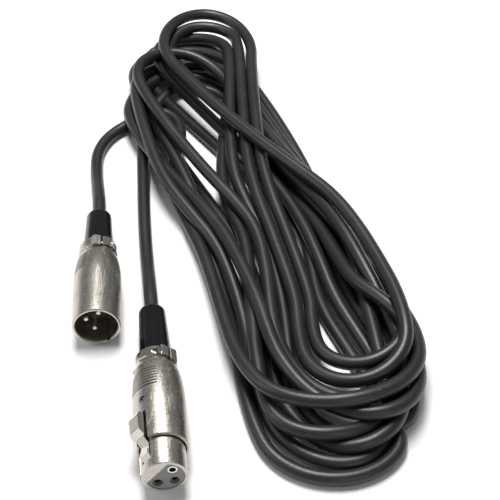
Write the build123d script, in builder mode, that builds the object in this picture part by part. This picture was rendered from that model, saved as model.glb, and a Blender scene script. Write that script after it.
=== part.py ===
"""A coiled microphone cable: one balanced cable with a male and a female three-pin plug.

Millimetres, +Z up, floor at z = 0. The origin is on the floor, in the middle of the two plugs,
which lie side by side with their mating faces towards -Y. The coil lies behind and beside them.
Each plug is drawn on its own plane: z runs out of the mating face, y points to its latch side.
"""
from build123d import *
import os
from math import cos, radians, sin

# ---- driving dimensions ----
CABLE_D = 5.8
CABLE_R = CABLE_D / 2
REST_Z = CABLE_R + 0.05      # height of the cable's middle where it lies on the floor

PIN_R = 1.2                  # contact pins
PIN_ROOT_R = 1.7             # their root inside the insert
PIN_ROOT_Z = -14.3           # where the root ends, a little under the insert's face
PIN_RECESS = 3.2             # from the mouth's rim back to the pins' tips
PIN_RING_R = 4.3             # from the plug's axis to each pin
PIN_ANGLE = {1: 180, 2: 0, 3: -90}   # male side, from local x; the female side is its mirror
NOSE_R = 8.2                 # female nose that enters the male plug
BORE_R = 8.5                 # male plug's mouth
CLAMP_R = 5.4                # hole that grips the boot's neck
CLAMP_SCREW_X = 6.9          # clamp screws, from the plug's axis
CLAMP_SEAT = 3.8             # where the screw heads rest, above the plug's axis
CLAMP_LENGTH = 7.4
CLAMP_SPAN = 174             # arc of each half collar
CLAMP_NECK_R = 7.6
CLAMP_LIP_R = 8.2
RIB_PITCH = 1.45
GROOVE_DEPTH = 0.55          # of the grip on the shells

MALE_LENGTH = 69.8           # mouth to the boot's end
MALE_REAR = 40.0             # mouth to the shell's rear face
FEMALE_LENGTH = 84.3
FEMALE_REAR = 50.2
SKIRT = 12.0                 # nose standing out of the female shell

PLUG_RISE = 1.1              # both plugs rest on their belly and lift their mouth a little
MALE_MOUTH = (-13.8, 2.4, 10.43)
MALE_HEADING = 4.8           # turned from -Y towards +X
MALE_LATCH = -15             # latch side, from the right, seen from the front
FEMALE_FACE = (17.8, -71.3, 10.76)
FEMALE_HEADING = 6.9
FEMALE_LATCH = 140

LATCH_PIVOT_Y = 6.9
LATCH_PIVOT_Z = -26.4
LATCH_SLOT_FLOOR = 5.0

parts = []


# ---- planes of a plug ----
def plug_plane(face, heading, rise, latch):
    """The mating face: z out of the plug, y towards the latch side."""
    h, r, a = radians(heading), radians(rise), radians(latch)
    out = Vector(sin(h) * cos(r), -cos(h) * cos(r), sin(r))
    right = Vector(cos(h), sin(h), 0)
    up = out.cross(right)
    return Plane(origin=face, x_dir=right * sin(a) - up * cos(a), z_dir=out)


def lengthwise(plug):
    """Half-section plane: x is the radius, y runs along the plug."""
    return Plane(plug.origin, x_dir=plug.x_dir, z_dir=-plug.y_dir)


def latchwise(plug):
    """Section through the latch: x is the radius towards the latch, y runs along the plug."""
    return Plane(plug.origin, x_dir=plug.y_dir, z_dir=plug.x_dir)


def outward(plug, angle, z):
    """Plane on the axis at z, facing out sideways at an angle from local x."""
    a = radians(angle)
    normal = plug.x_dir * cos(a) + plug.y_dir * sin(a)
    return Plane(plug.from_local_coords((0, 0, z)), x_dir=plug.z_dir, z_dir=normal)


def pin_plane(plug, pin, z, mirrored=False):
    """Cross plane on a contact's own axis."""
    a = radians(PIN_ANGLE[pin])
    x = PIN_RING_R * cos(a) * (-1 if mirrored else 1)
    return Plane(plug.from_local_coords((x, PIN_RING_R * sin(a), z)), x_dir=plug.x_dir, z_dir=plug.z_dir)


male = plug_plane(MALE_MOUTH, MALE_HEADING, PLUG_RISE, MALE_LATCH)
female = plug_plane(FEMALE_FACE, FEMALE_HEADING, PLUG_RISE, FEMALE_LATCH)


def keep(piece, name):
    """Name a finished piece and list it for writing."""
    piece.part.label = name
    parts.append(piece.part)


# ---- pieces that both plugs have ----
def groove_rings(plug, middle, radius_at, count=7, span=100):
    """Grip: short grooves round the latch side and the side opposite."""
    for side in (1, -1):
        start = radians(90 * side - span / 2)
        ray = plug.x_dir * cos(start) + plug.y_dir * sin(start)
        half_plane = Plane(plug.origin, x_dir=ray, z_dir=ray.cross(plug.z_dir))
        with BuildSketch(half_plane) as teeth:
            for n in range(count):
                z = middle + (n - (count - 1) / 2) * RIB_PITCH
                with Locations((radius_at(z) + 1 - GROOVE_DEPTH, z)):
                    Rectangle(2, RIB_PITCH / 2)
        revolve(teeth.sketch, axis=Axis(plug.origin, plug.z_dir), revolution_arc=span, mode=Mode.SUBTRACT)


def clamp_half(plug, front, length, side):
    """One half of the cable clamp: a half collar with a raised lip, and two ears for the screws."""
    start = radians(90 * side - CLAMP_SPAN / 2)
    ray = plug.x_dir * cos(start) + plug.y_dir * sin(start)
    with BuildSketch(Plane(plug.origin, x_dir=ray, z_dir=ray.cross(plug.z_dir))) as section:
        with BuildLine():
            Polyline((CLAMP_R, front), (CLAMP_NECK_R, front), (CLAMP_NECK_R, front - 1.4),
                     (CLAMP_LIP_R, front - 2.2), (CLAMP_LIP_R, front - length + 0.7),
                     (CLAMP_NECK_R + 0.1, front - length), (CLAMP_R, front - length), close=True)
        make_face()
        fillet(section.vertices().group_by(Axis.X)[-1], radius=0.4)
    revolve(section.sketch, axis=Axis(plug.origin, plug.z_dir), revolution_arc=CLAMP_SPAN)
    with BuildSketch(plug.offset(front - 1.0)) as ears:
        with Locations((CLAMP_SCREW_X, side * 1.9), (-CLAMP_SCREW_X, side * 1.9)):
            RectangleRounded(3.8, 3.8, 0.9)
        Circle(CLAMP_R, mode=Mode.SUBTRACT)
        with Locations((0, -side * 14.65)):
            Rectangle(40, 30, mode=Mode.SUBTRACT)
    extrude(ears.sketch, amount=-(length - 1.8))


def clamp_cradle(plug, rear):
    """The half of the clamp that is one casting with the shell."""
    clamp_half(plug, -rear + 0.01, CLAMP_LENGTH, -1)
    for x in (CLAMP_SCREW_X, -CLAMP_SCREW_X):
        ear = Plane(plug.from_local_coords((x, 0, -rear - CLAMP_LENGTH / 2)),
                    x_dir=plug.z_dir, z_dir=-plug.y_dir)
        with BuildSketch(ear) as screw_hole:
            Circle(1.0)
        extrude(screw_hole.sketch, amount=3.4, mode=Mode.SUBTRACT)


def clamp_saddle(plug, rear, name):
    """The loose half of the clamp, on the latch side."""
    with BuildPart() as saddle:
        clamp_half(plug, -rear - 0.25, CLAMP_LENGTH - 0.4, 1)
        for x in (CLAMP_SCREW_X, -CLAMP_SCREW_X):
            ear = Plane(plug.from_local_coords((x, 9, -rear - CLAMP_LENGTH / 2)),
                        x_dir=plug.z_dir, z_dir=-plug.y_dir)
            with BuildSketch(ear):
                Circle(1.15)
            extrude(amount=9, mode=Mode.SUBTRACT)
            with BuildSketch(ear):
                Circle(1.75)
            extrude(amount=9 - CLAMP_SEAT, mode=Mode.SUBTRACT)
    keep(saddle, name)


def clamp_screws(plug, rear, name):
    """Two slotted cheese-head screws that pull the saddle down on the boot's neck."""
    with BuildPart() as screws:
        for x in (CLAMP_SCREW_X, -CLAMP_SCREW_X):
            seat = Plane(plug.from_local_coords((x, CLAMP_SEAT, -rear - CLAMP_LENGTH / 2)),
                         x_dir=plug.z_dir, z_dir=plug.y_dir)
            with BuildSketch(seat):
                Circle(1.6)
            extrude(amount=1.3)
            with BuildSketch(seat.offset(1.3)):
                Rectangle(5, 0.5, rotation=25)
            extrude(amount=-0.6, mode=Mode.SUBTRACT)
            with BuildSketch(seat):
                Circle(1.0)
            extrude(amount=-7.0)
    keep(screws, name)


def boot(plug, rear, end, big_r, small_r, name):
    """Moulded strain relief: a flange inside the shell, a neck in the clamp and a tapered sleeve."""
    neck_end = -rear - CLAMP_LENGTH - 0.4
    with BuildPart() as sleeve:
        with BuildSketch(lengthwise(plug)) as profile:
            with BuildLine():
                Polyline((CABLE_R + 0.05, -rear + 3.2), (6.8, -rear + 3.2), (6.8, -rear + 1.5),
                         (CLAMP_R - 0.1, -rear + 1.5), (CLAMP_R - 0.1, neck_end), (big_r, neck_end),
                         (small_r, -end), (CABLE_R + 0.05, -end), close=True)
            make_face()
            fillet(profile.vertices().group_by(Axis.X)[-2], radius=0.3)
            fillet(profile.vertices().group_by(Axis.Y)[0].sort_by(Axis.X)[-1], radius=1.8)
        revolve(axis=Axis(plug.origin, plug.z_dir))
    keep(sleeve, name)


def cable_end(plug, front, end, name):
    """The stripped end of the jacket, held inside the boot."""
    with BuildPart() as jacket:
        with BuildSketch(plug.offset(-front)):
            Circle(CABLE_R)
        extrude(amount=-(end - front))
    keep(jacket, name)


def wire(plug, pin, cup_z, cable_z, radius, name, mirrored=False):
    """A conductor from a contact's solder cup to its place in the cable's end."""
    a = radians(PIN_ANGLE[pin])
    x, y = cos(a) * (-1 if mirrored else 1), sin(a)
    inner = 1.25
    with BuildPart() as conductor:
        with BuildLine(plug):
            FilletPolyline((x * PIN_RING_R, y * PIN_RING_R, cup_z), (x * PIN_RING_R, y * PIN_RING_R, cup_z - 4.5),
                           (x * inner, y * inner, cable_z + 3), (x * inner, y * inner, cable_z), radius=1.6)
        with BuildSketch(pin_plane(plug, pin, cup_z, mirrored)):
            Circle(radius)
        sweep()
    keep(conductor, name)


def insert_screw(plug, angle, z, outer, name):
    """Slotted set screw through the shell into the insert or its barrel."""
    with BuildPart() as screw:
        with BuildSketch(outward(plug, angle, z).offset(outer - 3.0)):
            Circle(1.25)
        extrude(amount=3.0)
        with BuildSketch(outward(plug, angle, z).offset(outer)):
            Rectangle(4, 0.5, rotation=35)
        extrude(amount=-0.7, mode=Mode.SUBTRACT)
    keep(screw, name)


# ---- male plug ----
def male_radius(z):
    """Outside of the male shell near its grip."""
    return 9.97 if z > -26 else 9.97 - (abs(z) - 26) ** 2 * 0.0075


INSERT_FRONT = 14.0
INSERT_REAR = 25.4
MALE_SCREW_ANGLE = 15
MALE_SCREW_Z = -20.0

with BuildPart() as male_shell:
    with BuildSketch(lengthwise(male)):
        with BuildLine():
            outside = Spline((9.7, -0.4), (9.9, -12), (9.97, -24), (9.35, -34.5), (8.5, -MALE_REAR + 0.8),
                             tangents=((0.05, -1), (-0.3, -1)))
            Polyline(outside @ 1, (8.3, -MALE_REAR), (CLAMP_R, -MALE_REAR), (CLAMP_R, -MALE_REAR + 1.4),
                     (7.3, -MALE_REAR + 1.4), (7.3, -INSERT_REAR), (BORE_R, -INSERT_REAR), (BORE_R, -0.5),
                     (BORE_R + 0.35, 0), (9.35, 0), outside @ 0)
        make_face()
    revolve(axis=Axis(male.origin, male.z_dir))
    clamp_cradle(male, MALE_REAR)
    groove_rings(male, -32.3, male_radius)
    # recess for the other plug's latch hook
    with BuildSketch(Plane(male.from_local_coords((0, 0, -7.2)), x_dir=male.z_dir, z_dir=male.y_dir)):
        Rectangle(4.6, 5.6)
    extrude(amount=9.25, mode=Mode.SUBTRACT)
    # keyway down the mouth
    with BuildSketch(outward(male, 45, -6.7)):
        Rectangle(13.6, 1.8)
    extrude(amount=9.1, mode=Mode.SUBTRACT)
    with BuildSketch(outward(male, MALE_SCREW_ANGLE, MALE_SCREW_Z)):
        Circle(1.25)
    extrude(amount=12, mode=Mode.SUBTRACT)
keep(male_shell, "male_shell")

with BuildPart() as male_insert:
    with BuildSketch(male.offset(-INSERT_REAR)):
        Circle(BORE_R - 0.02)
    extrude(amount=INSERT_REAR - INSERT_FRONT)
    # shallow raised step round the three pins
    with BuildSketch(male.offset(-INSERT_FRONT)):
        Circle(6.9)
    extrude(amount=0.5)
    for pin in PIN_ANGLE:
        with BuildSketch(pin_plane(male, pin, -INSERT_REAR)):
            Circle(PIN_ROOT_R)
        extrude(amount=14, mode=Mode.SUBTRACT)
        with BuildSketch(pin_plane(male, pin, PIN_ROOT_Z)):
            Circle(1.95)
        extrude(amount=3, mode=Mode.SUBTRACT)
    with BuildSketch(outward(male, MALE_SCREW_ANGLE, MALE_SCREW_Z).offset(6.0)):
        Circle(1.25)
    extrude(amount=5, mode=Mode.SUBTRACT)
keep(male_insert, "male_insert")

for pin in PIN_ANGLE:
    with BuildPart() as contact:
        with BuildSketch(pin_plane(male, pin, PIN_ROOT_Z)):
            Circle(PIN_R)
        extrude(amount=-PIN_ROOT_Z - PIN_RECESS)
        fillet(contact.faces().sort_by(Axis(male.origin, male.z_dir))[-1].edges(), radius=0.95)
        with BuildSketch(pin_plane(male, pin, -INSERT_REAR + 1.8)):
            Circle(PIN_ROOT_R)
        extrude(amount=PIN_ROOT_Z + INSERT_REAR - 1.8)
        # solder cup, open at its end and cut away on one side
        with BuildSketch(pin_plane(male, pin, -INSERT_REAR + 1.8)):
            Circle(1.5)
        extrude(amount=-6.6)
        with BuildSketch(pin_plane(male, pin, -INSERT_REAR - 4.8)):
            Circle(1.05)
        extrude(amount=4.6, mode=Mode.SUBTRACT)
        with BuildSketch(pin_plane(male, pin, -INSERT_REAR - 4.8)):
            with Locations((0, 1.5)):
                Rectangle(4, 1.8)
        extrude(amount=2.6, mode=Mode.SUBTRACT)
    keep(contact, f"male_pin_{pin}")

insert_screw(male, MALE_SCREW_ANGLE, MALE_SCREW_Z, 9.4, "male_insert_screw")
clamp_saddle(male, MALE_REAR, "male_clamp_saddle")
clamp_screws(male, MALE_REAR, "male_clamp_screws")
boot(male, MALE_REAR, MALE_LENGTH, 6.5, 5.5, "male_boot")
cable_end(male, MALE_REAR + 1, MALE_LENGTH, "male_cable_end")
wire(male, 2, -INSERT_REAR - 2, -MALE_REAR - 1, 0.75, "male_wire_red")
wire(male, 3, -INSERT_REAR - 2, -MALE_REAR - 1, 0.75, "male_wire_white")
wire(male, 1, -INSERT_REAR - 2, -MALE_REAR - 1, 0.6, "male_shield_drain")


# ---- female plug ----
def female_radius(z):
    """Outside of the female shell near its grip."""
    return 10.07 if z > -37 else 10.07 - (abs(z) - 37) ** 2 * 0.0095


BARREL_REAR = 34.0
BARREL_FLANGE = 24.0
FACE_FLAT = 3.6              # the insert is cut flat here, below the latch
FEMALE_INSERT_REAR = 16.0
FEMALE_SCREW_ANGLE = 78
FEMALE_SCREW_Z = -30.2

with BuildPart() as female_shell:
    with BuildSketch(lengthwise(female)):
        with BuildLine():
            outside = Spline((9.75, -SKIRT - 0.3), (9.85, -20), (10.05, -30), (9.78, -41.2), (9.2, -46.2),
                             (8.5, -FEMALE_REAR + 0.6), tangents=((0.02, -1), (-0.25, -1)))
            Polyline(outside @ 1, (8.3, -FEMALE_REAR), (CLAMP_R, -FEMALE_REAR), (CLAMP_R, -FEMALE_REAR + 1.4),
                     (7.7, -FEMALE_REAR + 1.4), (7.7, -BARREL_REAR), (8.75, -BARREL_REAR), (8.75, -SKIRT),
                     (9.5, -SKIRT), outside @ 0)
        make_face()
    revolve(axis=Axis(female.origin, female.z_dir))
    clamp_cradle(female, FEMALE_REAR)
    groove_rings(female, -40.6, female_radius)
    # window for the latch, open at the rim
    with BuildSketch(Plane(female.from_local_coords((0, 6, -SKIRT - 5.8)), x_dir=female.z_dir, z_dir=female.y_dir)):
        Rectangle(13.4, 6.4)
    extrude(amount=8, mode=Mode.SUBTRACT)
    with BuildSketch(outward(female, FEMALE_SCREW_ANGLE, FEMALE_SCREW_Z)):
        Circle(1.55)
    extrude(amount=12, mode=Mode.SUBTRACT)
keep(female_shell, "female_shell")


with BuildPart() as female_nose_barrel:
    with BuildSketch(female.offset(-BARREL_REAR)):
        Circle(NOSE_R)
    extrude(amount=BARREL_REAR)
    fillet(female_nose_barrel.faces().sort_by(Axis(female.origin, female.z_dir))[-1].edges()
           .filter_by(GeomType.CIRCLE).sort_by(SortBy.LENGTH)[-1], radius=0.5)
    with BuildSketch(female.offset(-BARREL_REAR)):
        Circle(8.72)
        Circle(7.6, mode=Mode.SUBTRACT)
    extrude(amount=BARREL_REAR - BARREL_FLANGE)
    # bore for the insert, with a solid lobe on the latch side
    with BuildSketch(female.offset(-BARREL_REAR)):
        Circle(7.1)
        with Locations((0, FACE_FLAT + 10)):
            Rectangle(30, 20, mode=Mode.SUBTRACT)
    extrude(amount=BARREL_REAR, mode=Mode.SUBTRACT)
    # key rib along the nose
    with BuildSketch(outward(female, 135, -SKIRT / 2 - 0.8).offset(NOSE_R - 0.3)):
        Rectangle(SKIRT - 2.4, 1.4)
    extrude(amount=0.7)
    # slot in which the latch lies, closed at the front by the nose's own wall
    slot_length = 28.4 - 3.4
    with BuildSketch(Plane(female.from_local_coords((0, LATCH_SLOT_FLOOR, -3.4 - slot_length / 2)),
                           x_dir=female.z_dir, z_dir=female.y_dir)):
        Rectangle(slot_length, 4.9)
    extrude(amount=5, mode=Mode.SUBTRACT)
    with BuildSketch(Plane(female.from_local_coords((-6, LATCH_PIVOT_Y, LATCH_PIVOT_Z)),
                           x_dir=female.z_dir, z_dir=female.x_dir)):
        Circle(0.8)
    extrude(amount=12, mode=Mode.SUBTRACT)
    with BuildSketch(outward(female, FEMALE_SCREW_ANGLE, FEMALE_SCREW_Z).offset(6.5)):
        Circle(1.25)
    extrude(amount=4, mode=Mode.SUBTRACT)
keep(female_nose_barrel, "female_nose_barrel")

with BuildPart() as female_insert:
    with BuildSketch(female.offset(-0.35)):
        Circle(7.08)
        with Locations((0, FACE_FLAT - 0.04 + 10)):
            Rectangle(30, 20, mode=Mode.SUBTRACT)
    extrude(amount=-(FEMALE_INSERT_REAR - 0.35))
    for pin in PIN_ANGLE:
        with BuildSketch(pin_plane(female, pin, 0, mirrored=True)):
            Circle(1.75)
        extrude(amount=-20, mode=Mode.SUBTRACT)
        if pin > 1:
            with BuildSketch(pin_plane(female, pin, -0.35, mirrored=True)):
                Circle(1.95)
            extrude(amount=-0.5, taper=30, mode=Mode.SUBTRACT)
keep(female_insert, "female_insert")

for pin in PIN_ANGLE:
    front = 0.35 if pin == 1 else 1.6
    with BuildPart() as contact:
        with BuildSketch(pin_plane(female, pin, -front, mirrored=True)):
            Circle(1.75)
        extrude(amount=-(15.6 - front))
        with BuildSketch(pin_plane(female, pin, -15.6, mirrored=True)):
            Circle(1.5)
        extrude(amount=-6.4)
        with BuildSketch(pin_plane(female, pin, -front, mirrored=True)):
            Circle(PIN_R + 0.05)
        extrude(amount=-13.5, mode=Mode.SUBTRACT)
        with BuildSketch(pin_plane(female, pin, -22, mirrored=True)):
            Circle(1.05)
        extrude(amount=4.6, mode=Mode.SUBTRACT)
        with BuildSketch(pin_plane(female, pin, -22, mirrored=True)):
            with Locations((0, 1.5)):
                Rectangle(4, 1.8)
        extrude(amount=2.6, mode=Mode.SUBTRACT)
    keep(contact, f"female_contact_{pin}")

# latch: a lever with a hook in front, a ribbed thumb pad and an eye on the pivot pin
with BuildPart() as female_latch:
    with BuildSketch(latchwise(female).offset(-2.1)):
        with BuildLine():
            Polyline((7.0, -4.2), (8.95, -6.0), (8.95, -7.8), (8.2, -8.2), (8.2, -10.6), (10.4, -12.8),
                     (10.4, -23.2), (8.2, -23.8), (8.2, -25.8), (7.0, -25.8), close=True)
        make_face()
        with Locations((LATCH_PIVOT_Y, LATCH_PIVOT_Z)):
            Circle(1.45)
    extrude(amount=4.2)
    with BuildSketch(latchwise(female).offset(-2.8)):
        with BuildLine():
            Polyline((10.4, -13.0), (12.6, -14.6), (13.1, -21.2), (12.2, -23.0), (10.4, -23.0), close=True)
        make_face()
    extrude(amount=5.6)
    # grip ridges across the pad
    with BuildSketch(latchwise(female).offset(-2.8)):
        for n in range(6):
            with Locations((12.75 + 0.075 * n, -15.4 - 1.05 * n)):
                Rectangle(1.3, 0.5)
    extrude(amount=5.6, mode=Mode.SUBTRACT)
    with BuildSketch(latchwise(female).offset(-3)):
        with Locations((LATCH_PIVOT_Y, LATCH_PIVOT_Z)):
            Circle(0.9)
    extrude(amount=6, mode=Mode.SUBTRACT)
keep(female_latch, "female_latch")

with BuildPart() as female_latch_pin:
    with BuildSketch(latchwise(female).offset(-4.0)):
        with Locations((LATCH_PIVOT_Y, LATCH_PIVOT_Z)):
            Circle(0.8)
    extrude(amount=8.0)
keep(female_latch_pin, "female_latch_pin")

# leaf spring fixed under the lever, its free end turned down towards the slot's floor
with BuildPart() as female_latch_spring:
    with BuildSketch(latchwise(female).offset(-1.6)):
        with BuildLine():
            Polyline((7.0, -24.2), (7.0, -22.0), (6.25, -17.6), (6.45, -16.4), (6.2, -16.35),
                     (5.98, -17.6), (6.74, -22.0), (6.74, -24.2), close=True)
        make_face()
    extrude(amount=3.2)
keep(female_latch_spring, "female_latch_spring")

insert_screw(female, FEMALE_SCREW_ANGLE, FEMALE_SCREW_Z, 9.5, "female_insert_screw")
clamp_saddle(female, FEMALE_REAR, "female_clamp_saddle")
clamp_screws(female, FEMALE_REAR, "female_clamp_screws")
boot(female, FEMALE_REAR, FEMALE_LENGTH, 6.4, 5.4, "female_boot")
cable_end(female, FEMALE_REAR + 1, FEMALE_LENGTH, "female_cable_end")
wire(female, 2, -19, -FEMALE_REAR - 1, 0.75, "female_wire_red", mirrored=True)
wire(female, 3, -19, -FEMALE_REAR - 1, 0.75, "female_wire_white", mirrored=True)
wire(female, 1, -19, -FEMALE_REAR - 1, 0.6, "female_shield_drain", mirrored=True)


# ---- the cable ----
def corner_radii(route):
    """Each corner's radius: 0.45 of its shorter run, over the tangent of half its turn."""
    radii = []
    for a, b, c in zip(route, route[1:], route[2:]):
        run_in = Vector(*b) - Vector(*a)
        run_out = Vector(*c) - Vector(*b)
        half_turn = radians(run_in.get_angle(run_out) / 2)
        radii.append(0.45 * min(run_in.length, run_out.length) * cos(half_turn) / sin(half_turn))
    return radii


def cable_tube(route, name):
    """Round tube along a free stretch of the cable."""
    radii = corner_radii(route)
    start = Vector(*route[1]) - Vector(*route[0])
    with BuildPart() as tube:
        with BuildLine():
            path = FilletPolyline(*route, radius=radii)
        with BuildSketch(Plane(route[0], z_dir=start)):
            Circle(CABLE_R)
        sweep()
    section = 3.14159 * CABLE_R ** 2
    print(name, "radii", [round(r) for r in radii], "length", round(path.length, 1),
          "volume ratio", round(tube.part.volume / (section * path.length), 3))
    keep(tube, name)




def from_boot(plug, length):
    """The boot's end and a point straight behind it."""
    return [tuple(plug.from_local_coords((0, 0, -length - run))) for run in (0, 9)]


MALE_LEAD = from_boot(male, MALE_LENGTH) + [
    (-22.0, 91.2, 7.2), (-23.8, 101.7, 4.6), (-25.5, 113, REST_Z), (-26.5, 125.5, REST_Z),
    (-24.0, 136.5, REST_Z), (-18.8, 145, REST_Z), (-11.6, 151.3, 3.6)]
FEMALE_LEAD = from_boot(female, FEMALE_LENGTH) + [
    (5.1, 32.7, 6.6), (3.5, 44.7, 3.8), (1.8, 58.2, REST_Z), (0.2, 72.7, REST_Z),
    (-1.3, 88.7, REST_Z), (-2.6, 104.7, REST_Z)]
cable_tube(MALE_LEAD, "cable_male_lead")
cable_tube(FEMALE_LEAD, "cable_female_lead")

# the coiled length as one closed solid of its outer shape
COIL_OUTLINE = [(-15.2, 146), (-15.7, 174), (-13.5, 199), (-1, 217), (18, 238), (39, 230), (51, 204), (57, 174),
                (76, 125), (101, 62), (119, 8), (117, -33), (101, -64), (76, -74), (54, -62), (39, -33),
                (27, 16), (14, 59), (-1, 98)]
COIL_HEIGHT = 26.0

with BuildPart() as cable_coil:
    with BuildSketch():
        with BuildLine():
            Spline(*COIL_OUTLINE, periodic=True)
        make_face()
    extrude(amount=COIL_HEIGHT)
    chamfer(cable_coil.faces().sort_by(Axis.Z)[-1].edges(), length=4.5)
keep(cable_coil, "cable_coil")


# ---- write every piece ----
os.makedirs("parts", exist_ok=True)
for piece in parts:
    export_step(piece, f"parts/{piece.label}.step")
print(len(parts), "pieces")
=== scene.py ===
"""Looks for the coiled microphone cable: jacket, boots, plated plugs, contacts and studio light."""
import math

import bpy
import numpy as np
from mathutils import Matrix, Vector


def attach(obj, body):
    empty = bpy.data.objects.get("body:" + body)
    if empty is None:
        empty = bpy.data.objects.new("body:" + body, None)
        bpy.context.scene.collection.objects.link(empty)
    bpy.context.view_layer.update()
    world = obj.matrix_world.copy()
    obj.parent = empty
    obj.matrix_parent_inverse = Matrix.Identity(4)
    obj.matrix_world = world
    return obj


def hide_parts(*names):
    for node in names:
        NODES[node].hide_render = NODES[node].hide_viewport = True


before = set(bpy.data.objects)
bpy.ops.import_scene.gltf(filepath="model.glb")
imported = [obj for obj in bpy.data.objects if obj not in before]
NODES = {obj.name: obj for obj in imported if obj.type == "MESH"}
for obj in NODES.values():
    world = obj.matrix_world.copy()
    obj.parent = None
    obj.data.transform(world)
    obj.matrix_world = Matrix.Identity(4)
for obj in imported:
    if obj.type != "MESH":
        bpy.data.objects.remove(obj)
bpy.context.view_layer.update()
SCENE = bpy.context.scene
MM = 0.001

# ------------------------------------------------------------------ camera, light and world

camera_data = bpy.data.cameras.new("camera")
camera_data.lens = 81.8
camera_data.sensor_width = 36
camera_data.clip_start = 0.01
camera = bpy.data.objects.new("camera", camera_data)
camera.location = (0.04763, -0.3147, 0.3374)
camera.rotation_euler = (math.radians(48), 0, 0)
SCENE.collection.objects.link(camera)
SCENE.camera = camera


def lamp(name, place, target, width, height, watts, tint=(1, 1, 1)):
    """A soft box that points at a place on the floor."""
    data = bpy.data.lights.new(name, "AREA")
    data.shape = "RECTANGLE"
    data.size = width
    data.size_y = height
    data.energy = watts
    data.color = tint
    box = bpy.data.objects.new(name, data)
    box.location = place
    box.rotation_euler = (Vector(target) - Vector(place)).to_track_quat("-Z", "Y").to_euler()
    SCENE.collection.objects.link(box)


lamp("key_softbox", (0.0, 0.30, 0.95), (0.04, 0.06, 0), 0.34, 0.5, 12.0, (1.0, 0.99, 0.98))
lamp("side_softbox", (-0.85, 0.0, 0.45), (0.0, 0.05, 0), 0.3, 0.7, 2.0, (0.97, 0.98, 1.0))
lamp("front_fill", (0.45, -0.8, 0.45), (0.04, 0.0, 0), 0.5, 0.3, 1.0)
SCENE.view_settings.view_transform = "Standard"

world = bpy.data.worlds.new("studio")
world.use_nodes = True
world.node_tree.nodes["Background"].inputs["Color"].default_value = (0.95, 0.97, 1.0, 1)
world.node_tree.nodes["Background"].inputs["Strength"].default_value = 0.22
SCENE.world = world

# ------------------------------------------------------------------ the cable

CABLE_D = 5.8

# where the cable runs from each boot, in millimetres
MALE_LEAD = [
    (-19.64, 71.94, 9.09),
    (-20.39, 80.91, 8.92),
    (-22.0, 91.2, 7.2),
    (-23.8, 101.7, 4.6),
    (-25.5, 113.0, 2.95),
    (-26.5, 125.5, 2.95),
    (-24.0, 136.5, 2.95),
    (-18.8, 145.0, 2.95),
    (-11.6, 151.3, 3.6),
]
FEMALE_LEAD = [
    (-4.0, 121.0, 2.95),
    (-2.6, 104.7, 2.95),
    (-1.3, 88.7, 2.95),
    (0.2, 72.7, 2.95),
    (1.8, 58.2, 2.95),
    (3.5, 44.7, 3.8),
    (5.1, 32.7, 6.6),
    (6.59, 21.31, 8.97),
    (7.67, 12.37, 9.14),
]
# the first end bend, where the male lead turns back into the coil
FIRST_BEND = [
    (-2.6, 154.6, 3.4),
    (5.8, 152.8, 3.2),
    (11.2, 145.6, 3.0),
    (12.8, 134.5, 3.0),
    (12.2, 120.0, 3.0),
]

# three lines across the coil; each long side of a turn crosses them at its own offset
CROSSINGS = {"upper": (38.8, 104.0), "middle": (53.2, 61.0), "lower": (67.6, 18.0)}
ACROSS = (0.948, 0.318)
DOWN = ("upper", "middle", "lower")
UP = ("lower", "middle", "upper")

BEND_POINTS = 7
OPEN_SWEEP = 90      # degrees from a bend's tip to its end
CROSSED_SWEEP = 112  # the same where the cable crosses itself behind the bend
SIDE_AIM = 45.0      # how far past its ends a long side is aimed

# one row per turn: offsets of its left side going down, its near bend, offsets of its right
# side going up, its far bend. A bend is x, y, half width, reach, tilt in degrees and height;
# a far bend's last number is -1 where the cable was twisted over as it was gathered.
# these rows were fitted by a separate program and copied here; nobody chose them by hand
TURNS = [
    ((-26.3, -24.7, -30.8), (78.4, -14, 33.1, 29.8, 13.3, 14),
     (33.6, 30.2, 23), (19.5, 154.9, 32.3, 39.7, 10, 7.3, 1)),
    ((-27.3, -19.2, -17.9), (83.5, -9.2, 25.5, 39.3, 20.9, 11),
     (37.3, 34.1, 28.4), (17.4, 166, 26.5, 32.9, 19.1, 9.4, 1)),
    ((-30.2, -20.1, -22.9), (79.5, -30.3, 26.4, 27.6, 20.9, 5.3),
     (17.2, 20.2, 14.3), (18.2, 196, 20.6, 23.6, 11.7, 11.4, -1)),
    ((1.2, 2.1, -5.8), (86, -23.2, 20.4, 26.5, 14.2, 6.8),
     (27.8, 28.9, 28.5), (20.7, 167.9, 25.4, 40.9, 17.7, 5, 1)),
    ((-16.1, -9.8, -13.2), (80.9, -21.5, 23.2, 34.4, 17.7, 7.9),
     (23.5, 27.2, 30.4), (14.6, 180.8, 24.3, 32.4, 25.1, 9.3, 1)),
    ((-21.9, -24.8, -29.1), (76.5, -39.7, 26.7, 25.7, 18.9, 2.9),
     (11.7, 21.4, 10.4), (15.3, 196.2, 21.1, 30.4, 16.3, 6.7, -1)),
    ((-4.9, -8.5, -21), (77.6, -31.6, 25.1, 22.7, 16, 8.5),
     (29.7, 33.1, 27.6), (14.7, 167.9, 24.7, 30.4, 25.4, 10.9, 1)),
    ((-14.5, -3.3, -12.9), (82.9, -6.9, 23.3, 32.7, 19.3, 11.7),
     (29.6, 32.8, 23.2), (21.5, 206.3, 18.5, 18.4, 20.4, 11.7, -1)),
    ((7.8, 2.6, -1.6), (87.7, -10.4, 20.4, 20.8, 11.7, 18.6),
     (34.6, 32.4, 16.2), (25.1, 197, 23.7, 37.2, 0.3, 17.3, -1)),
    ((14.1, 9.8, 5.3), (93, -2.2, 19.4, 17.8, 12.8, 15),
     (27.2, 28.9, 25.1), (22, 147, 27.8, 37.1, 8.2, 2.9, 1)),
]


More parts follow.
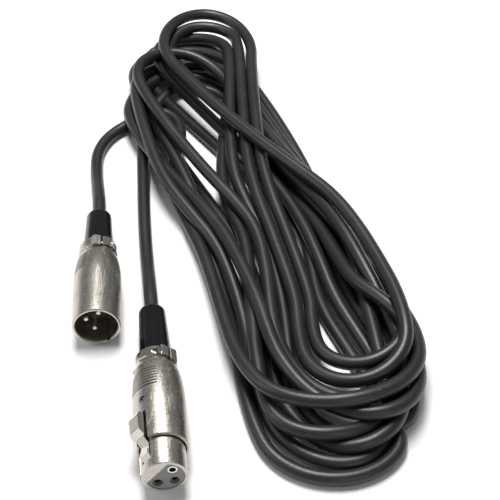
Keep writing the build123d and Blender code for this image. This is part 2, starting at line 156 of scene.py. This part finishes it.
def end_of_turn(x, y, half_width, reach, tilt, height, side, way=1):
    """A bend at one end of the coil, as points round part of an ellipse."""
    turned = math.radians(tilt)
    along = np.array([-math.sin(turned), math.cos(turned)]) * side
    broad = np.array([math.cos(turned), math.sin(turned)])
    sweep = CROSSED_SWEEP if way < 0 else OPEN_SWEEP
    half = (BEND_POINTS - 1) // 2
    order = way if side < 0 else -way
    points = []
    for k in range(BEND_POINTS):
        swing = math.radians(sweep * (k / half - 1) * order)
        p = np.array([x, y]) + reach * math.cos(swing) * along + half_width * math.sin(swing) * broad
        points.append((p[0], p[1], height))
    return np.array(points)


def side_of_turn(start, end, leave, arrive, offsets, lines, lift):
    """A long side between two bends, through its three crossings, in seven points."""
    stops = [start[:2]]
    for line, offset in zip(lines, offsets):
        stops.append(np.array(CROSSINGS[line]) + np.array(ACROSS) * offset)
    stops.append(end[:2])
    stops = [stops[0] - leave * SIDE_AIM] + stops + [stops[-1] + arrive * SIDE_AIM]
    spans = len(stops) - 3
    points = []
    for k in range(spans):
        a, b, c, d = stops[k:k + 4]
        for t in ((0.5,) if k == spans - 1 else (0.5, 1.0)):
            curve = (3 * b - a - 3 * c + d) * t ** 3 + (2 * a - 5 * b + 4 * c - d) * t * t
            xy = 0.5 * (2 * b + (c - a) * t + curve)
            share = ((k + t) / spans) ** lift
            points.append((xy[0], xy[1], start[2] + (end[2] - start[2]) * share))
    return np.array(points)


def heading(a, b):
    """Level direction from one point to the next."""
    step = (b - a)[:2]
    return step / np.linalg.norm(step)


def wind():
    """The whole cable's route as it was gathered, before it settles."""
    route = [np.array(MALE_LEAD), np.array(FIRST_BEND)]
    leave = heading(route[-1][-2], route[-1][-1])
    for n, (left, near, right, far) in enumerate(TURNS):
        near_bend = end_of_turn(*near, side=-1)
        far_bend = end_of_turn(*far[:6], side=1, way=far[6])
        for bend, offsets, lines in ((near_bend, left, DOWN), (far_bend, right, UP)):
            lift = 2.5 if n == 0 and lines is DOWN else 1
            arrive = heading(bend[0], bend[1])
            route.append(side_of_turn(route[-1][-1], bend[0], leave, arrive, offsets, lines, lift))
            route.append(bend)
            leave = heading(bend[-2], bend[-1])
    last = route[-1][-1]
    out = np.array(FEMALE_LEAD)
    route.append(np.array([last + (out[0] - last) * 0.5]))
    route.append(out)
    return np.vstack(route)


def spline_weights(count, per):
    """How much each point of the route pulls on each place along the smooth cable."""
    places = [(span, q / per) for span in range(count - 2) for q in range(per)]
    places.append((count - 3, 1.0))
    weights = np.zeros((len(places), count))
    for i, (span, t) in enumerate(places):
        a = (1 - t) ** 2 * (1 if span == 0 else 0.5)
        c = t * t * (1 if span == count - 3 else 0.5)
        weights[i, span:span + 3] = (a, 1 - a - c, c)
    return weights


SETTLE_STEPS = 420
SETTLE_SAMPLES = 5               # places looked at along each span of the spline
FIRM_FROM = 0.7                  # share of the steps after which nothing sinks any more
SEARCH_EVERY = 6
SAME_STRAND = 3 * CABLE_D        # places nearer than this along the cable don't push each other
NEARBY = 1.6 * CABLE_D
TOUCHING = 1.06 * CABLE_D
SINK = 0.10                      # millimetres in a step
PULL_BACK = {False: 0.05, True: 0.01}     # towards the gathered route, early and late
BEND_BACK = {False: 1, True: 0.3}         # share of the cable's stiffness, early and late
STIFFNESS = np.array([0.12, 0.12, 0.16])
STEP_SHARE = 0.9


def settle(plan, held_first, held_last):
    """Lets the turns sink on each other and the floor, pushing apart most of what touches."""
    count = len(plan)
    weights = spline_weights(count, SETTLE_SAMPLES)
    total = weights.sum(0)[:, None]
    route = plan.copy()
    free = np.ones((count, 1))
    free[:held_first] = 0
    free[count - held_last:] = 0
    runs = np.linalg.norm(np.diff(weights @ plan, axis=0), axis=1)
    arc = np.concatenate([[0], np.cumsum(runs)])
    for step in range(SETTLE_STEPS):
        line = weights @ route
        if step % SEARCH_EVERY == 0:
            apart = ((line[:, None] - line[None]) ** 2).sum(-1)
            later = arc[None] - arc[:, None] > SAME_STRAND
            first, second = np.nonzero((apart < NEARBY ** 2) & later)
        between = line[first] - line[second]
        dist = np.linalg.norm(between, axis=1)
        gap = np.clip(TOUCHING - dist, 0, None)
        hit = gap > 0
        push = between / np.maximum(dist, 1e-6)[:, None] * gap[:, None] * 0.5
        move = np.zeros((len(arc), 3))
        touches = np.zeros(len(arc))
        np.add.at(move, first[hit], push[hit])
        np.add.at(move, second[hit], -push[hit])
        np.add.at(touches, first[hit], 1)
        np.add.at(touches, second[hit], 1)
        move /= np.sqrt(np.maximum(touches, 1))[:, None]
        late = step > SETTLE_STEPS * FIRM_FROM
        change = (weights.T @ move) / total
        if not late:
            change[:, 2] -= SINK
        change[:, :2] += (plan - route)[:, :2] * PULL_BACK[late]
        bent = route - plan
        bent[:, 2] = route[:, 2]
        stiff = np.zeros_like(route)
        stiff[1:-1] = bent[:-2] + bent[2:] - 2 * bent[1:-1]
        change += stiff * STIFFNESS * BEND_BACK[late]
        route = route + change * free * STEP_SHARE
        low = np.clip(CABLE_D / 2 - (weights @ route)[:, 2], 0, None)
        route[:, 2] += ((weights.T @ low) / total[:, 0]) * free[:, 0]
        route[:, 2] = np.where(free[:, 0] > 0, np.maximum(route[:, 2], CABLE_D / 2), route[:, 2])
    return route


def lay_cable(name, route):
    """The cable as one smooth line with a round section."""
    curve = bpy.data.curves.new(name, "CURVE")
    curve.dimensions = "3D"
    spline = curve.splines.new("NURBS")
    spline.points.add(len(route) - 1)
    for point, place in zip(spline.points, route):
        point.co = (place[0] * MM, place[1] * MM, place[2] * MM, 1)
        point.radius = CABLE_D / 2 * MM
    spline.order_u = 3
    spline.use_endpoint_u = True
    spline.resolution_u = 8
    curve.bevel_depth = 1.0  # times each point's radius, which also counts in the cable's box
    curve.bevel_resolution = 7
    curve.resolution_u = 8
    cable = bpy.data.objects.new(name, curve)
    SCENE.collection.objects.link(cable)
    return cable


route = settle(wind(), len(MALE_LEAD), len(FEMALE_LEAD))
cable = lay_cable("cable", route)
cable_line = spline_weights(len(route), 8) @ route
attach(cable, "cable")
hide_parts("cable_male_lead", "cable_female_lead", "cable_coil")

# ------------------------------------------------------------------ shared finishes


def group(name, inputs, outputs):
    """An empty node group with float inputs, and float outputs with the given names."""
    tree = bpy.data.node_groups.new(name, "ShaderNodeTree")
    for label, value in inputs.items():
        socket = tree.interface.new_socket(label, in_out="INPUT", socket_type="NodeSocketFloat")
        socket.default_value = value
    for label in outputs:
        tree.interface.new_socket(label, in_out="OUTPUT", socket_type="NodeSocketFloat")
    return tree, tree.nodes.new("NodeGroupInput"), tree.nodes.new("NodeGroupOutput")


def add(tree, kind, **settings):
    """A node with its properties and socket values set; sockets are given by name."""
    node = tree.nodes.new(kind)
    for key, value in settings.items():
        if hasattr(node, key):
            setattr(node, key, value)
        else:
            node.inputs[key.replace("_", " ")].default_value = value
    return node


def math_node(tree, operation, a, b=None):
    """A sum, product or other step on sockets or numbers."""
    node = tree.nodes.new("ShaderNodeMath")
    node.operation = operation
    for slot, value in enumerate((a, b)):
        if value is None:
            continue
        if isinstance(value, (int, float)):
            node.inputs[slot].default_value = value
        else:
            tree.links.new(value, node.inputs[slot])
    return node.outputs[0]


def ranged(tree, value, low, high, to_low=0.0, to_high=1.0):
    """A value stretched from one range to another, and kept inside it."""
    node = tree.nodes.new("ShaderNodeMapRange")
    node.clamp = True
    tree.links.new(value, node.inputs["Value"])
    limits = {"From Min": low, "From Max": high, "To Min": to_low, "To Max": to_high}
    for label, number in limits.items():
        if isinstance(number, (int, float)):
            node.inputs[label].default_value = number
        else:
            tree.links.new(number, node.inputs[label])
    return node.outputs["Result"]


def make_grain():
    """Fine grain of cast and plated metal or of moulded rubber: a height and a slow cloud."""
    tree, given, result = group("fine_grain", {"Scale": 900.0, "Cloud Scale": 60.0}, ("Height", "Cloud"))
    place = tree.nodes.new("ShaderNodeTexCoord")
    fine = add(tree, "ShaderNodeTexNoise", Detail=5.0, Roughness=0.65)
    tree.links.new(place.outputs["Object"], fine.inputs["Vector"])
    tree.links.new(given.outputs["Scale"], fine.inputs["Scale"])
    cloud = add(tree, "ShaderNodeTexNoise", Detail=3.0, Roughness=0.55)
    tree.links.new(place.outputs["Object"], cloud.inputs["Vector"])
    tree.links.new(given.outputs["Cloud Scale"], cloud.inputs["Scale"])
    tree.links.new(fine.outputs["Fac"], result.inputs["Height"])
    tree.links.new(ranged(tree, cloud.outputs["Fac"], 0.3, 0.7), result.inputs["Cloud"])
    return tree


def make_wear_and_shade():
    """Marks of use, bright edges and thin scratches, and painted shade that darkens the corners."""
    tree, given, result = group(
        "wear_and_shade", {"Edge Width": 0.0003, "Scratch Scale": 160.0, "Corner Reach": 0.0016},
        ("Edges", "Painted Corner Shade", "Scratches"))
    bevel = add(tree, "ShaderNodeBevel", samples=4)
    tree.links.new(given.outputs["Edge Width"], bevel.inputs["Radius"])
    normal = tree.nodes.new("ShaderNodeNewGeometry")
    dot = tree.nodes.new("ShaderNodeVectorMath")
    dot.operation = "DOT_PRODUCT"
    tree.links.new(bevel.outputs["Normal"], dot.inputs[0])
    tree.links.new(normal.outputs["Normal"], dot.inputs[1])
    tree.links.new(ranged(tree, dot.outputs["Value"], 0.98, 0.80), result.inputs["Edges"])
    # painted shade: ambient occlusion becomes a mask that darkens corners and hollows
    corner = add(tree, "ShaderNodeAmbientOcclusion", samples=8)
    tree.links.new(given.outputs["Corner Reach"], corner.inputs["Distance"])
    tree.links.new(ranged(tree, corner.outputs["AO"], 0.75, 0.25), result.inputs["Painted Corner Shade"])
    place = tree.nodes.new("ShaderNodeTexCoord")
    stretch = add(tree, "ShaderNodeMapping", Scale=(1.0, 0.12, 1.0), Rotation=(0.2, 0.3, 0.5))
    tree.links.new(place.outputs["Object"], stretch.inputs["Vector"])
    lines = add(tree, "ShaderNodeTexNoise", Detail=4.0, Roughness=0.7, Distortion=0.4)
    tree.links.new(stretch.outputs["Vector"], lines.inputs["Vector"])
    tree.links.new(given.outputs["Scratch Scale"], lines.inputs["Scale"])
    middle = math_node(tree, "ABSOLUTE", math_node(tree, "SUBTRACT", lines.outputs["Fac"], 0.5))
    tree.links.new(ranged(tree, middle, 0.012, 0.0), result.inputs["Scratches"])
    return tree


def make_dust():
    """Pale specks and scuffs that settle on black rubber."""
    tree, given, result = group(
        "dust", {"Speck Scale": 420.0, "Speck Size": 0.12, "Scuff Scale": 38.0}, ("Specks", "Scuffs"))
    place = tree.nodes.new("ShaderNodeTexCoord")
    cells = add(tree, "ShaderNodeTexVoronoi")
    tree.links.new(place.outputs["Object"], cells.inputs["Vector"])
    tree.links.new(given.outputs["Speck Scale"], cells.inputs["Scale"])
    speck = ranged(tree, cells.outputs["Distance"], given.outputs["Speck Size"], 0.02)
    chosen = tree.nodes.new("ShaderNodeSeparateColor")
    tree.links.new(cells.outputs["Color"], chosen.inputs["Color"])
    some = math_node(tree, "GREATER_THAN", chosen.outputs["Red"], 0.90)
    tree.links.new(math_node(tree, "MULTIPLY", speck, some), result.inputs["Specks"])
    scuff = add(tree, "ShaderNodeTexNoise", Detail=6.0, Roughness=0.7)
    tree.links.new(place.outputs["Object"], scuff.inputs["Vector"])
    tree.links.new(given.outputs["Scuff Scale"], scuff.inputs["Scale"])
    tree.links.new(ranged(tree, scuff.outputs["Fac"], 0.52, 0.78), result.inputs["Scuffs"])
    return tree


GRAIN = make_grain()
WEAR_AND_SHADE = make_wear_and_shade()
DUST = make_dust()


def place_group(tree, kind, **values):
    """One of the shared groups in a material, with its own values."""
    node = tree.nodes.new("ShaderNodeGroup")
    node.node_tree = kind
    for label, value in values.items():
        node.inputs[label.replace("_", " ")].default_value = value
    return node


def mixed(tree, factor, a, b):
    """A colour between two others; each may be a colour or a socket, the factor is a socket."""
    node = tree.nodes.new("ShaderNodeMix")
    node.data_type = "RGBA"
    tree.links.new(factor, node.inputs[0])
    for slot, value in ((6, a), (7, b)):
        if isinstance(value, tuple):
            node.inputs[slot].default_value = (*value, 1)
        else:
            tree.links.new(value, node.inputs[slot])
    return node.outputs[2]


def new_material(name):
    """A material with its node tree and its main shader."""
    material = bpy.data.materials.new(name)
    material.use_nodes = True
    tree = material.node_tree
    shader = tree.nodes["Principled BSDF"]
    return material, tree, shader


def bumped(tree, shader, height, strength, distance):
    """Raises a height on the shader's normal."""
    bump = tree.nodes.new("ShaderNodeBump")
    bump.inputs["Strength"].default_value = strength
    bump.inputs["Distance"].default_value = distance
    tree.links.new(height, bump.inputs["Height"])
    tree.links.new(bump.outputs["Normal"], shader.inputs["Normal"])


WORN_EDGE = (0.93, 0.91, 0.88)
# near-black colour of the painted shade in corners and hollows
PAINTED_CORNER_SHADE_COLOUR = (0.055, 0.05, 0.045)
METAL_WEAR = 0.55      # how much the bright edges, the painted shade in corners and the scratches show on metal
PAINTED_CORNER_SHADE = 0.6
METAL_SCRATCHES = 0.25
DUST_COLOUR = (0.55, 0.53, 0.5)


def plated_metal(name, colour, shade, rough, spread, grain_scale, bump):
    """Nickel, zinc, silver or tin plate: clouded colour, grain, worn edges and painted shade in the
    corners.
    """
    material, tree, shader = new_material(name)
    grain = place_group(tree, GRAIN, Scale=grain_scale, Cloud_Scale=90.0)
    wear_and_shade = place_group(tree, WEAR_AND_SHADE)
    clouded = mixed(tree, grain.outputs["Cloud"], shade, colour)
    worn = math_node(tree, "MULTIPLY", wear_and_shade.outputs["Edges"], METAL_WEAR)
    bright = mixed(tree, worn, clouded, WORN_EDGE)
    # painted shade: corners darkened towards a near-black colour, and made a little rougher
    corner_shade = math_node(tree, "MULTIPLY", wear_and_shade.outputs["Painted Corner Shade"], PAINTED_CORNER_SHADE)
    tree.links.new(mixed(tree, corner_shade, bright, PAINTED_CORNER_SHADE_COLOUR), shader.inputs["Base Color"])
    shader.inputs["Metallic"].default_value = 1.0
    base = ranged(tree, grain.outputs["Height"], 0.3, 0.7, rough - spread, rough + spread)
    scratched = math_node(tree, "MULTIPLY", wear_and_shade.outputs["Scratches"], METAL_SCRATCHES)
    dull = math_node(tree, "ADD", base, scratched)
    rougher_in_corners = math_node(tree, "ADD", dull, math_node(tree, "MULTIPLY", corner_shade, 0.3))
    tree.links.new(rougher_in_corners, shader.inputs["Roughness"])
    bumped(tree, shader, grain.outputs["Height"], bump, 0.00012)
    return material


def moulded(name, colour, shade, rough, grain_scale, bump, dusty=0.25, specular=0.5):
    """Moulded plastic or rubber: clouded colour, fine texture, dust specks and scuffs."""
    material, tree, shader = new_material(name)
    grain = place_group(tree, GRAIN, Scale=grain_scale, Cloud_Scale=70.0)
    dust = place_group(tree, DUST)
    clouded = mixed(tree, grain.outputs["Cloud"], shade, colour)
    pale = tuple(min(1.0, c * 2.2 + 0.05) for c in colour)
    scuffs = math_node(tree, "MULTIPLY", dust.outputs["Scuffs"], dusty * 0.5)
    specks = math_node(tree, "MULTIPLY", dust.outputs["Specks"], dusty * 2)
    scuffed = mixed(tree, scuffs, clouded, pale)
    specked = mixed(tree, specks, scuffed, DUST_COLOUR)
    tree.links.new(specked, shader.inputs["Base Color"])
    worn = math_node(tree, "MULTIPLY", dust.outputs["Scuffs"], 0.12)
    base = ranged(tree, grain.outputs["Height"], 0.3, 0.7, rough - 0.05, rough + 0.05)
    tree.links.new(math_node(tree, "ADD", base, worn), shader.inputs["Roughness"])
    shader.inputs["Specular IOR Level"].default_value = specular
    bumped(tree, shader, grain.outputs["Height"], bump, 0.0001)
    return material


# colour, its darker clouds, roughness and how far it varies, grain scale, bump
METALS = {
    "satin_nickel": ((0.60, 0.56, 0.50), (0.48, 0.445, 0.395), 0.30, 0.09, 1900, 0.6),
    "polished_nickel": ((0.72, 0.68, 0.62), (0.62, 0.58, 0.52), 0.16, 0.04, 1400, 0.15),
    "screw_steel": ((0.64, 0.63, 0.62), (0.52, 0.51, 0.50), 0.28, 0.06, 2200, 0.2),
    "silver_contact": ((0.82, 0.80, 0.76), (0.70, 0.66, 0.58), 0.20, 0.05, 1500, 0.1),
    "tinned_copper": ((0.66, 0.60, 0.54), (0.58, 0.46, 0.36), 0.35, 0.06, 2600, 0.4),
}
# colour, its darker clouds, roughness, grain scale, bump, then dust and gloss where they differ
MOULDINGS = {
    "male_insulator": ((0.11, 0.097, 0.088), (0.085, 0.074, 0.066), 0.42, 1500, 0.15),
    "female_insulator": ((0.20, 0.20, 0.195), (0.16, 0.16, 0.158), 0.45, 1500, 0.2),
    "boot_rubber": ((0.005, 0.005, 0.006), (0.004, 0.004, 0.0045), 0.17, 600, 0.12, 0.05, 0.45),
    "cable_jacket": ((0.017, 0.0175, 0.020), (0.013, 0.0135, 0.0155), 0.39, 1100, 0.25, 0.18),
    "red_insulation": ((0.50, 0.03, 0.025), (0.40, 0.02, 0.02), 0.38, 900, 0.1),
    "white_insulation": ((0.78, 0.78, 0.75), (0.68, 0.67, 0.63), 0.38, 900, 0.1),
}
FINISHES = {name: plated_metal(name, *values) for name, values in METALS.items()}
FINISHES.update({name: moulded(name, *values) for name, values in MOULDINGS.items()})


def finish_for(node):
    """Which finish a CAD node takes."""
    if node.startswith("cable_") or node.endswith("cable_end"):
        return "cable_jacket"
    if "boot" in node:
        return "boot_rubber"
    if node == "male_insert":
        return "male_insulator"
    if node == "female_insert":
        return "female_insulator"
    if node.startswith("male_pin") or node.startswith("female_contact"):
        return "silver_contact"
    if "wire_red" in node:
        return "red_insulation"
    if "wire_white" in node:
        return "white_insulation"
    if "shield" in node:
        return "tinned_copper"
    if "screw" in node or "spring" in node or node.endswith("latch_pin"):
        return "screw_steel"
    if "clamp" in node or node == "female_latch":
        return "polished_nickel"
    return "satin_nickel"


for name, piece in NODES.items():
    piece.data.materials.clear()
    piece.data.materials.append(FINISHES[finish_for(name)])
cable.data.materials.append(FINISHES["cable_jacket"])

# ------------------------------------------------------------------ floor

bpy.ops.object.select_all(action="DESELECT")
bpy.ops.mesh.primitive_plane_add(size=6, location=(0, 0, 0))
floor = bpy.context.object
floor.name = "floor"
paper, paper_tree, paper_shader = new_material("paper_floor")
paper_shader.inputs["Base Color"].default_value = (0.9, 0.9, 0.9, 1)
paper_shader.inputs["Roughness"].default_value = 0.9
paper_shader.inputs["Specular IOR Level"].default_value = 0.1
floor.data.materials.append(paper)

bpy.context.view_layer.update()
